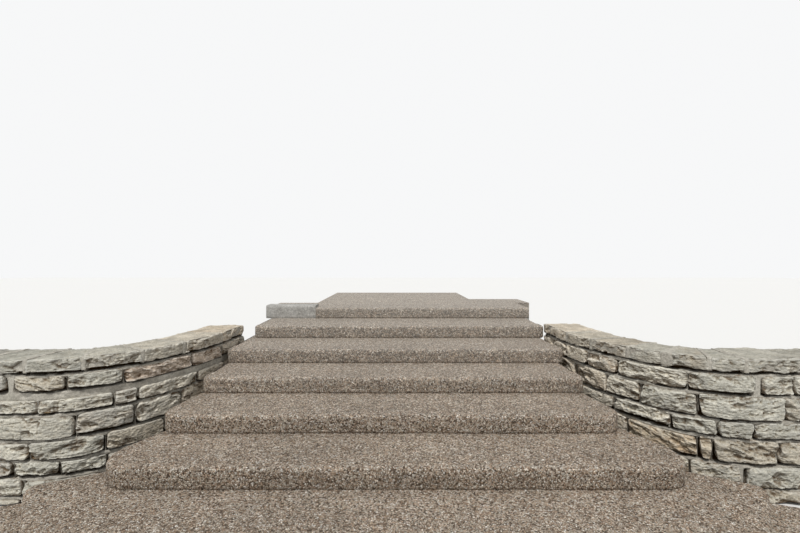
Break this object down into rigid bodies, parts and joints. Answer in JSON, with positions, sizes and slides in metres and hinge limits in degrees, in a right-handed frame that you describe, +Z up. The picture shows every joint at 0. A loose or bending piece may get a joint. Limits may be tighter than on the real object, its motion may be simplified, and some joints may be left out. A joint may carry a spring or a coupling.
{
  "type": "outdoor entrance steps with stone retaining walls",
  "caption": "Wide flight of low exposed-aggregate concrete steps with rounded, flared lower ends, between two curved limestone retaining walls, with landing and porch floor.",
  "frame": {"origin": "on the ground, at the middle of the whole object's width and depth", "axes": "+X to the right across the flight, +Y up the flight towards the landing and door, +Z up"},
  "size_m": [6, 4.7713, 0.9476],
  "materials": {
    "aggregate": "exposed-aggregate concrete with small brown, tan and grey pebbles",
    "smooth_concrete": "plain trowelled grey concrete",
    "limestone": "rock-faced cream limestone in recessed mortar",
    "cap_stone": "split limestone cap course with flat weathered top",
    "mortar": "grey-beige raked mortar"
  },
  "bodies": {
    "root": {"step_1": "aggregate", "step_2": "aggregate", "step_3": "aggregate", "step_4": "aggregate", "step_5": "aggregate", "step_6": "aggregate", "step_7": "aggregate", "landing": "aggregate", "porch_floor": "aggregate", "porch_bay": "aggregate", "landing_plinth": "smooth_concrete", "porch_base": "smooth_concrete", "bay_base": "smooth_concrete", "left_wall_1": "limestone", "left_wall_2": "limestone", "left_wall_3": "limestone", "left_wall_4": "limestone", "left_wall_5": "limestone", "left_wall_6": "limestone", "left_wall_7": "limestone", "right_wall_1": "limestone", "right_wall_2": "limestone", "right_wall_3": "limestone", "right_wall_4": "limestone", "right_wall_5": "limestone", "right_wall_6": "limestone", "right_wall_7": "limestone", "left_cap_1": "cap_stone", "left_cap_2": "cap_stone", "left_cap_3": "cap_stone", "left_cap_4": "cap_stone", "left_cap_5": "cap_stone", "left_cap_6": "cap_stone", "left_cap_7": "cap_stone", "right_cap_1": "cap_stone", "right_cap_2": "cap_stone", "right_cap_3": "cap_stone", "right_cap_4": "cap_stone", "right_cap_5": "cap_stone", "right_cap_6": "cap_stone", "right_cap_7": "cap_stone"}
  },
  "joints": []
}
